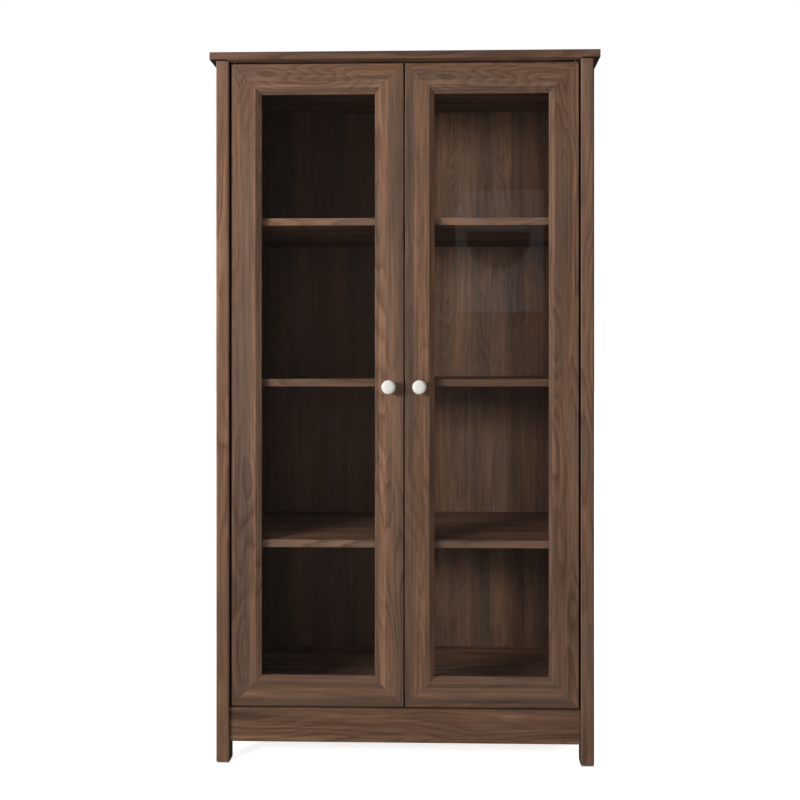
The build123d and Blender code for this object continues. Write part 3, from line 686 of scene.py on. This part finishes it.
class CABINET_OT_glass(bpy.types.Operator):
    """Makes the panes clear, with the mirror gloss of float glass"""

    bl_idname = "cabinet.glass"
    bl_label = "Glass"

    def execute(self, context):
        settings = context.scene.cabinet_glass
        finish = Finish("clear_glass")
        smear = finish.noise(finish.object_place(), (7, 7, 4), detail=3)
        gloss = finish.add(
            "ShaderNodeBsdfAnisotropic", {}, {"Color": (1, 1, 1), "Roughness": smear * 0.02}
        )
        clear = finish.add("ShaderNodeBsdfTransparent", {}, {"Color": settings.tint})
        # the same on both faces of the pane, because a clear ray isn't bent on its way through
        straight_on = ((settings.ior - 1) / (settings.ior + 1)) ** 2
        glancing = finish.add("ShaderNodeLayerWeight", {}, {"Blend": 0.5}, output="Facing") ** 5
        mirrored = straight_on + glancing * (1 - straight_on)
        shader = finish.add("ShaderNodeMixShader", {}, {0: mirrored, 1: clear, 2: gloss})
        dress(finish.done(shader), "left_door_glass", "right_door_glass")
        return {"FINISHED"}


class CABINET_OT_knobs(bpy.types.Operator):
    """Glazes the knobs white"""

    bl_idname = "cabinet.knobs"
    bl_label = "Knobs"

    def execute(self, context):
        settings = context.scene.cabinet_knobs
        finish = Finish("white_glaze")
        place = finish.object_place()
        fine = 1 / settings.crackle
        uneven = finish.noise(place, fine, detail=3)
        cloud = finish.noise(place, 60, detail=2)
        tone = finish.mix(cloud.rise(0.3, 0.8), settings.glaze, tuple(c * 0.94 for c in settings.glaze))
        normal = finish.bump(uneven, 0.08 * MM, 0.5)
        roughness = settings.roughness + (uneven - 0.5) * 0.08
        shader = finish.surface(
            Base_Color=tone, Roughness=roughness, Normal=normal, Coat_Weight=1.0, Coat_Roughness=0.06
        )
        dress(finish.done(shader), "left_door_knob", "right_door_knob")
        return {"FINISHED"}


# how fine the marks on the metals are: marks in a metre along X, Y and Z
ROLLED, TURNED, DRAWN = (60, 900, 900), (1400, 1400, 300), (900, 900, 900)


def plated_steel(name, tone, marks, roughness, metallic=1.0):
    """Metal with a fine rolled or plated surface."""
    finish = Finish(name)
    place = finish.object_place()
    scratch = finish.noise(place, marks, detail=4)
    spangle = finish.noise(place, 420, detail=2)
    colour_low = tuple(c * 0.82 for c in tone)
    shade = finish.mix(spangle.rise(0.35, 0.7), tone, colour_low)
    normal = finish.bump(scratch, 0.03 * MM, 0.6)
    rough = roughness + (scratch - 0.5) * 0.18 + (spangle - 0.5) * 0.10
    return finish.done(
        finish.surface(Base_Color=shade, Roughness=rough, Metallic=metallic, Normal=normal)
    )


def moulded(name, tone, roughness, grain_size, depth):
    """Plastic, ferrite or rubber with the fine texture of its mould."""
    finish = Finish(name)
    place = finish.object_place()
    fine = 1 / grain_size
    grain = finish.noise(place, fine, detail=3)
    cloud = finish.noise(place, 90, detail=2)
    shade = finish.shaded(tone, 1 + (cloud - 0.5) * 0.25)
    normal = finish.bump(grain, depth, 0.7)
    rough = roughness + (grain - 0.5) * 0.15
    return finish.done(finish.surface(Base_Color=shade, Roughness=rough, Normal=normal))


def beech():
    """Pale turned beech with its fleck."""
    finish = Finish("turned_beech")
    place = finish.object_place()
    fleck = finish.noise(place, 900, detail=1).rise(0.55, 0.7)
    band = finish.noise(place, 160, detail=3)
    tone = finish.mix(band, (0.52, 0.34, 0.20), (0.62, 0.43, 0.27))
    tone = finish.mix(fleck * 0.5, tone, (0.33, 0.18, 0.10))
    normal = finish.bump(band, 0.06 * MM, 0.6)
    return finish.done(finish.surface(Base_Color=tone, Roughness=0.55 + fleck * 0.1, Normal=normal))


class CABINET_OT_fittings(bpy.types.Operator):
    """Finishes the metal, plastic, rubber and beech parts"""

    bl_idname = "cabinet.fittings"
    bl_label = "Fittings"

    def execute(self, context):
        steel_tone = tuple(context.scene.cabinet_fittings.steel)
        # painted shade: the pivot plates, strike plates, pivot pins and their screws are dark brown, not
        # their plated steel, so they read as the shaded gaps round the doors
        rolled = plated_steel("rolled_plates", (0.16, 0.12, 0.09), ROLLED, 0.60, metallic=0.45)
        turned = plated_steel("turned_steel", steel_tone, TURNED, 0.28)
        sides = ("left", "right")
        plates = [f"{end}_pivot_plate_{side}" for end in ("top", "bottom") for side in sides]
        plates += [f"{side}_door_{part}" for side in sides for part in ("pivot_plates", "strike_plate")]
        screws = [f"{side}_door_{part}" for side in sides for part in ("screws", "knob_screw")]
        dress(rolled, *plates, "pivot_pins", "pivot_plate_screws")
        dress(turned, "shelf_pins", "cam_bolts", "cam_locks", "cleat_screws", "back_panel_screws",
              "catch_screws", *screws)
        nylon = moulded("black_nylon", (0.014, 0.014, 0.015), 0.45, 0.6 * MM, 0.04 * MM)
        dress(nylon, "leg_glides", "pivot_washers")
        brown = moulded("brown_plastic", (0.055, 0.030, 0.020), 0.42, 0.5 * MM, 0.04 * MM)
        dress(brown, "catch_housing")
        ferrite = moulded("ferrite", (0.022, 0.021, 0.022), 0.60, 0.3 * MM, 0.05 * MM)
        dress(ferrite, "catch_magnets")
        soft = moulded("soft_bumper", (0.42, 0.40, 0.37), 0.55, 0.8 * MM, 0.06 * MM)
        dress(soft, "left_door_bumper", "right_door_bumper")
        dress(beech(), "carcass_dowels")
        return {"FINISHED"}


# --- Small parts that repeat ---------------------------------------------------------------


class Growth(Tree):
    """A Geometry Nodes tree with named inputs, and its use on one object."""

    def __init__(self, name, sizes):
        tree = bpy.data.node_groups.new(name, "GeometryNodeTree")
        super().__init__(tree)
        face = tree.interface
        face.new_socket("Geometry", in_out="INPUT", socket_type="NodeSocketGeometry")
        self.keys = {}
        for size in sizes:
            socket = face.new_socket(size, in_out="INPUT", socket_type="NodeSocketFloat")
            socket.subtype = "DISTANCE"
            self.keys[size] = socket.identifier
        socket = face.new_socket("Material", in_out="INPUT", socket_type="NodeSocketMaterial")
        self.keys["Material"] = socket.identifier
        face.new_socket("Geometry", in_out="OUTPUT", socket_type="NodeSocketGeometry")
        self.inputs = self.beside(self.add("NodeGroupInput"))

    def given(self, name):
        return self.inputs[name]

    def finish(self, geometry):
        """Realises the instances, sets their material and ends the tree."""
        real = self.add("GeometryNodeRealizeInstances", {}, {"Geometry": geometry})
        made = self.add(
            "GeometryNodeSetMaterial", {}, {"Geometry": real, "Material": self.given("Material")}
        )
        self.add("NodeGroupOutput", {}, {"Geometry": made})

    def grow(self, name, mesh, body, slot, values):
        """Runs the tree on a mesh and leaves a plain piece that rides on the body."""
        seed = placed(f"{name}_seed", mesh)
        modifier = seed.modifiers.new("Growth", "NODES")
        modifier.node_group = self.tree
        for key, value in values.items():
            modifier[self.keys[key]] = value
        evaluated = seed.evaluated_get(bpy.context.evaluated_depsgraph_get())
        plain = bpy.data.meshes.new_from_object(evaluated)
        plain.name = name
        seed.modifiers.clear()
        bpy.data.objects.remove(seed)
        if not plain.polygons:
            raise RuntimeError(f"{name} came out with no faces")
        piece = placed(name, plain)
        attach(piece, body)


def point_mesh(name, points, edges=()):
    """A mesh of points and edges that a Growth tree starts from."""
    mesh = bpy.data.meshes.new(name)
    mesh.from_pydata(points, edges, [])
    return mesh


class CABINET_OT_shelf_sleeves(bpy.types.Operator):
    """Puts a steel sleeve round every free shelf hole in the sides"""

    bl_idname = "cabinet.shelf_sleeves"
    bl_label = "Shelf-hole sleeves"

    def execute(self, context):
        settings = context.scene.cabinet_fittings
        growth = Growth("shelf_sleeve", ("Bore", "Flange", "Height"))
        ring_radius = growth.given("Bore") + growth.given("Flange") * 0.5
        ring = growth.add(
            "GeometryNodeCurvePrimitiveCircle", {}, {"Resolution": 20, "Radius": ring_radius}
        )
        profile = growth.add(
            "GeometryNodeCurvePrimitiveQuadrilateral", {},
            {"Width": growth.given("Flange"), "Height": growth.given("Height")},
        )
        sleeve = growth.add(
            "GeometryNodeCurveToMesh", {}, {"Curve": ring, "Profile Curve": profile}
        )
        sleeves = growth.add(
            "GeometryNodeInstanceOnPoints", {},
            {"Points": growth.given("Geometry"), "Instance": sleeve, "Rotation": (0, math.pi / 2, 0)},
        )
        growth.finish(sleeves)
        points = []
        sides = ((corner("side_panel_left", 1).x, 1), (corner("side_panel_right", 0).x, -1))
        for shelf in ("shelf_upper", "shelf_middle", "shelf_lower"):
            low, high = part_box(shelf)
            for step in range(-settings.holes_each_way, settings.holes_each_way + 1):
                if step == 0:
                    continue
                level = low.z - settings.pin_below + step * settings.hole_pitch
                for y in (low.y + settings.pin_inset, high.y - settings.pin_inset):
                    for face, inward in sides:
                        points.append((face + inward * settings.sleeve_height / 2, y, level))
        material = plated_steel("sleeve_steel", tuple(settings.steel), TURNED, 0.30)
        values = {
            "Bore": settings.sleeve_hole, "Flange": settings.sleeve_flange,
            "Height": settings.sleeve_height, "Material": material,
        }
        growth.grow("shelf_hole_sleeves", point_mesh("hole_centres", points), "carcass",
                    "zinc_plated_steel", values)
        return {"FINISHED"}


# the radius of a cap's stem, as a share of its hole's
STEM_FIT = 0.98


class CABINET_OT_wall_caps(bpy.types.Operator):
    """Closes the two wall-fixing holes from the inside with pressed-in caps"""

    bl_idname = "cabinet.wall_caps"
    bl_label = "Wall-hole caps"

    def execute(self, context):
        settings = context.scene.cabinet_fittings
        wall = next(mount for mount in frame["record"]["mounts"] if mount["name"] == "wall_fixing")
        spacing = wall["dims"]["spacing_x_mm"] * MM
        growth = Growth("wall_cap", ("Head", "Height", "Hole", "Stem"))
        dome = growth.add("GeometryNodeMeshUVSphere", {}, {"Segments": 24, "Rings": 12, "Radius": 1.0})
        across = growth.add(
            "ShaderNodeCombineXYZ", {},
            {0: growth.given("Head"), 1: growth.given("Height"), 2: growth.given("Head")},
        )
        head = growth.add("GeometryNodeTransform", {}, {"Geometry": dome, "Scale": across})
        rod = growth.add(
            "GeometryNodeMeshCylinder", {},
            {"Vertices": 24, "Radius": growth.given("Hole"), "Depth": growth.given("Stem")},
        )
        inward = growth.add("ShaderNodeCombineXYZ", {}, {1: growth.given("Stem") * 0.5})
        stem = growth.add(
            "GeometryNodeTransform", {},
            {"Geometry": rod, "Rotation": (math.pi / 2, 0, 0), "Translation": inward},
        )
        cap = growth.add("GeometryNodeJoinGeometry", {}, {"Geometry": [head, stem]})
        caps = growth.add(
            "GeometryNodeInstanceOnPoints", {}, {"Points": growth.given("Geometry"), "Instance": cap}
        )
        growth.finish(caps)
        face = corner("back_panel", 0).y
        points = [
            (wall["pos_m"][0] + side * spacing / 2, face, wall["pos_m"][2]) for side in (-1, 1)
        ]
        values = {
            "Head": settings.cap_radius, "Height": settings.cap_height,
            "Hole": wall["dims"]["hole_r_mm"] * MM * STEM_FIT, "Stem": settings.cap_stem,
            "Material": moulded("walnut_plastic", (0.125, 0.072, 0.048), 0.5, 0.5 * MM, 0.04 * MM),
        }
        growth.grow("wall_hole_caps", point_mesh("wall_holes", points), "carcass",
                    "brown_plastic", values)
        return {"FINISHED"}


# the brads' heads are flat domes in the middle of the beads, away from the beads' ends
BEAD_WIDTH = 0.009
BRAD_FROM_END = 0.03
BRAD_FLATNESS = 0.35


class CABINET_OT_bead_brads(bpy.types.Operator):
    """Puts the brads' heads along the glazing beads of both doors"""

    bl_idname = "cabinet.bead_brads"
    bl_label = "Bead brads"

    def execute(self, context):
        settings = context.scene.cabinet_fittings
        growth = Growth("bead_brad", ("Spacing", "Radius"))
        path = growth.add("GeometryNodeMeshToCurve", {}, {"Mesh": growth.given("Geometry")})
        spaced = growth.add(
            "GeometryNodeResampleCurve", {"mode": "LENGTH"},
            {"Curve": path, "Length": growth.given("Spacing")},
        )
        head = growth.add(
            "GeometryNodeMeshUVSphere", {},
            {"Segments": 10, "Rings": 6, "Radius": growth.given("Radius")},
        )
        heads = growth.add(
            "GeometryNodeInstanceOnPoints", {},
            {"Points": spaced, "Instance": head, "Scale": (1.0, BRAD_FLATNESS, 1.0)},
        )
        growth.finish(heads)
        material = plated_steel("brad_steel", tuple(settings.steel), DRAWN, 0.40)
        for side in ("left", "right"):
            low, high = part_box(f"{side}_door_glazing_beads")
            middle = BEAD_WIDTH / 2
            y = high.y - settings.brad_radius * 0.05
            x0, x1, z0, z1 = low.x + middle, high.x - middle, low.z + middle, high.z - middle
            # each bead's line from its first brad to its last
            heights = (z0 + BRAD_FROM_END, z1 - BRAD_FROM_END)
            widths = (x0 + BRAD_FROM_END, x1 - BRAD_FROM_END)
            points = [(x, y, z) for x in (x0, x1) for z in heights]
            points += [(x, y, z) for z in (z0, z1) for x in widths]
            mesh = point_mesh(f"{side}_bead_lines", points, [(0, 1), (2, 3), (4, 5), (6, 7)])
            values = {
                "Spacing": settings.brad_spacing, "Radius": settings.brad_radius, "Material": material,
            }
            growth.grow(f"{side}_door_bead_brads", mesh, f"{side}_door", "zinc_plated_steel", values)
        return {"FINISHED"}


# --- Studio --------------------------------------------------------------------------------

# the lamps' places, targets and sizes
KEY_PLACE, KEY_TARGET, KEY_SIZE = (-2.42, -2.15, 1.56), (0.0, -0.19, 3.6), (1.15, 0.95)
REAR_PLACE, REAR_TARGET, REAR_SIZE = (2.0, 2.9, 1.7), (0.1, 0.1, 0.95), (1.5, 1.5)

# how bright the cards are that only mirrors see
MIRRORED = {"dark_flag": 0.045, "pale_card": 0.22, "dark_card": 0.05, "soft_card": 4.0}

# how the panels are turned, about X and about Y
FLAT, UPRIGHT, SIDEWAYS = (0, 0), (math.pi / 2, 0), (0, math.pi / 2)
KEY_TURN = (math.pi / 2, -0.85)

# the squares of the distances from the middle between which the floor's glow rises to full white,
# and the share of its glow that the floor loses under the legs: a painted shadow of the legs
WHITENING = (2.0, 9.0)
PAINTED_LEG_SHADOW = 0.96


def seen_directly(tree):
    """1 for rays from the camera, from a mirror or through glass, and 0 for the rest."""
    ray = tree.beside(tree.add("ShaderNodeLightPath"))
    return ray["Is Camera Ray"].greater(ray["Is Glossy Ray"]).greater(ray["Is Transmission Ray"])


def flat_panel(name, rim, material):
    """A flat piece of the studio with the points of its rim given."""
    mesh = bpy.data.meshes.new(name)
    mesh.from_pydata(rim, [], [tuple(range(len(rim)))])
    mesh.materials.append(material)
    panel = placed(name, mesh)
    return panel


def card(name, centre, size, material, turn=UPRIGHT):
    """A rectangular panel."""
    w, h = size[0] / 2, size[1] / 2
    turned = Matrix.Rotation(turn[0], 4, "X") @ Matrix.Rotation(turn[1], 4, "Y")
    place = Matrix.Translation(centre) @ turned
    corners = ((-w, -h, 0), (w, -h, 0), (w, h, 0), (-w, h, 0))
    return flat_panel(name, [tuple(place @ Vector(at)) for at in corners], material)


def half_round(name, centre, radius, lift, material, steps=24):
    """A half disc with its round side down, raised by a straight part."""
    x, y, z = centre
    angles = [math.pi * (1 + step / steps) for step in range(steps + 1)]
    rim = [(x + radius * math.cos(angle), y, z + radius * math.sin(angle)) for angle in angles]
    rim += [(x + side * radius, y, z + lift) for side in (1, -1)]
    return flat_panel(name, rim, material)


def even_glow(name, strength):
    """An even white light."""
    finish = Finish(name)
    light = finish.add("ShaderNodeEmission", {}, {"Color": (1, 1, 1), "Strength": strength})
    return finish.done(light)


def area_lamp(name, place, target, size, watts):
    """A rectangular lamp that shines at a target and that no mirror shows."""
    data = bpy.data.lights.new(name, "AREA")
    data.shape, data.energy = "RECTANGLE", watts
    data.size, data.size_y = size
    lamp = placed(name, data)
    lamp.location = place
    lamp.rotation_euler = (Vector(target) - Vector(place)).to_track_quat("-Z", "Y").to_euler()
    lamp.visible_glossy = False


class CABINET_OT_studio(bpy.types.Operator):
    """Sets up the camera, the lamps, the white floor and the room"""

    bl_idname = "cabinet.studio"
    bl_label = "Studio"

    def execute(self, context):
        scene, settings = context.scene, context.scene.cabinet_studio
        scene.view_settings.view_transform = "Standard"
        self.camera(scene, settings)
        self.room(scene, settings)
        area_lamp("key_lamp", KEY_PLACE, KEY_TARGET, KEY_SIZE, settings.key)
        area_lamp("rear_lamp", REAR_PLACE, REAR_TARGET, REAR_SIZE, settings.rear)
        return {"FINISHED"}

    def camera(self, scene, settings):
        data = bpy.data.cameras.new("camera")
        data.lens, data.sensor_width = settings.lens, 36.0
        data.shift_x, data.shift_y = settings.shift
        data.dof.use_dof = False
        camera = placed("camera", data)
        camera.location = settings.eye
        camera.rotation_euler = (math.pi / 2, 0, settings.turn)
        scene.camera = camera

    def room(self, scene, settings):
        world = bpy.data.worlds.new("room")
        scene.world = world
        world.use_nodes = True
        sky = Tree(world.node_tree)
        world.node_tree.nodes.clear()
        seen = seen_directly(sky)
        strength = seen + (1 - seen) * settings.air
        light = sky.add("ShaderNodeBackground", {}, {"Color": (1, 1, 1), "Strength": strength})
        sky.add("ShaderNodeOutputWorld", {}, {"Surface": light})

        floor = Finish("white_floor")
        seen = seen_directly(floor)
        x, y, _ = floor.parts(floor.object_place())
        far = (x * x + y * y).rise(*WHITENING)
        strength = seen * (settings.floor_glow + far * (1 - settings.floor_glow))
        # painted shadow: the floor's glow is darkened under the legs
        strength = strength * (1 - self.painted_leg_shadow_mask(x, y) * PAINTED_LEG_SHADOW)
        glow = floor.add("ShaderNodeEmission", {}, {"Color": (1, 1, 1), "Strength": strength})
        matt = floor.add("ShaderNodeBsdfDiffuse", {}, {"Color": tuple(settings.floor)})
        both = floor.add("ShaderNodeAddShader", {}, {0: glow, 1: matt})
        card("floor", (0, 0, 0), (40, 40), floor.done(both), FLAT)

        # flags keep the white floor and room out of the panes; one pane shows a pale card with a
        # dark half disc, and the soft card stands in for the bare key lamp
        flag, pale, dark, soft = (even_glow(name, glow) for name, glow in MIRRORED.items())
        panels = [
            card("flag_behind", (0, -6.0, 2.0), (24, 14), flag),
            card("flag_below", (0, -5.12, 0.004), (24, 9.76), flag, FLAT),
            card("flag_right", (4.0, 0, 4.5), (9, 12), flag, SIDEWAYS),
            card("pale_card", (0.50, -4.5, 1.855), (0.72, 0.99), pale),
            card("soft_card", KEY_PLACE, KEY_SIZE, soft, KEY_TURN),
            half_round("dark_card", (0.492, -4.49, 1.966), 0.258, 0.047, dark),
        ]
        for panel in panels:
            for ray in ("camera", "diffuse", "shadow", "transmission"):
                setattr(panel, f"visible_{ray}", False)

    def painted_leg_shadow_mask(self, x, y):
        """1 on the floor under the front legs, and at the same places behind the middle: where the legs'
        shadow is painted.
        """
        low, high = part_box("front_post_right")
        in_width = abs(x).rise(low.x, low.x + MM) * (1 - abs(x).rise(high.x - MM, high.x))
        in_depth = abs(y).rise(-high.y, MM - high.y) * (1 - abs(y).rise(-low.y - MM, -low.y))
        return in_width * in_depth


# --- Add-on --------------------------------------------------------------------------------

OPERATORS = (
    CABINET_OT_walnut,
    CABINET_OT_glass,
    CABINET_OT_knobs,
    CABINET_OT_fittings,
    CABINET_OT_shelf_sleeves,
    CABINET_OT_wall_caps,
    CABINET_OT_bead_brads,
    CABINET_OT_studio,
)


class CABINET_PT_panel(bpy.types.Panel):
    """Lists the cabinet's steps and settings"""

    bl_idname = "CABINET_PT_panel"
    bl_label = "China cabinet"
    bl_space_type = "VIEW_3D"
    bl_region_type = "UI"
    bl_category = "Cabinet"

    def draw(self, context):
        for operator in OPERATORS:
            self.layout.operator(operator.bl_idname)
        for name, group in GROUPS.items():
            box = self.layout.box()
            for setting in group.__annotations__:
                box.prop(getattr(context.scene, name), setting)


def register():
    for cls in (*GROUPS.values(), *OPERATORS, CABINET_PT_panel):
        bpy.utils.register_class(cls)
    for name, group in GROUPS.items():
        setattr(bpy.types.Scene, name, PointerProperty(type=group))


def unregister():
    for name in GROUPS:
        delattr(bpy.types.Scene, name)
    for cls in (CABINET_PT_panel, *reversed(OPERATORS), *reversed(GROUPS.values())):
        bpy.utils.unregister_class(cls)


def main():
    register()
    for operator in OPERATORS:
        group, name = operator.bl_idname.split(".")
        getattr(getattr(bpy.ops, group), name)()


if __name__ == "__main__":
    main()
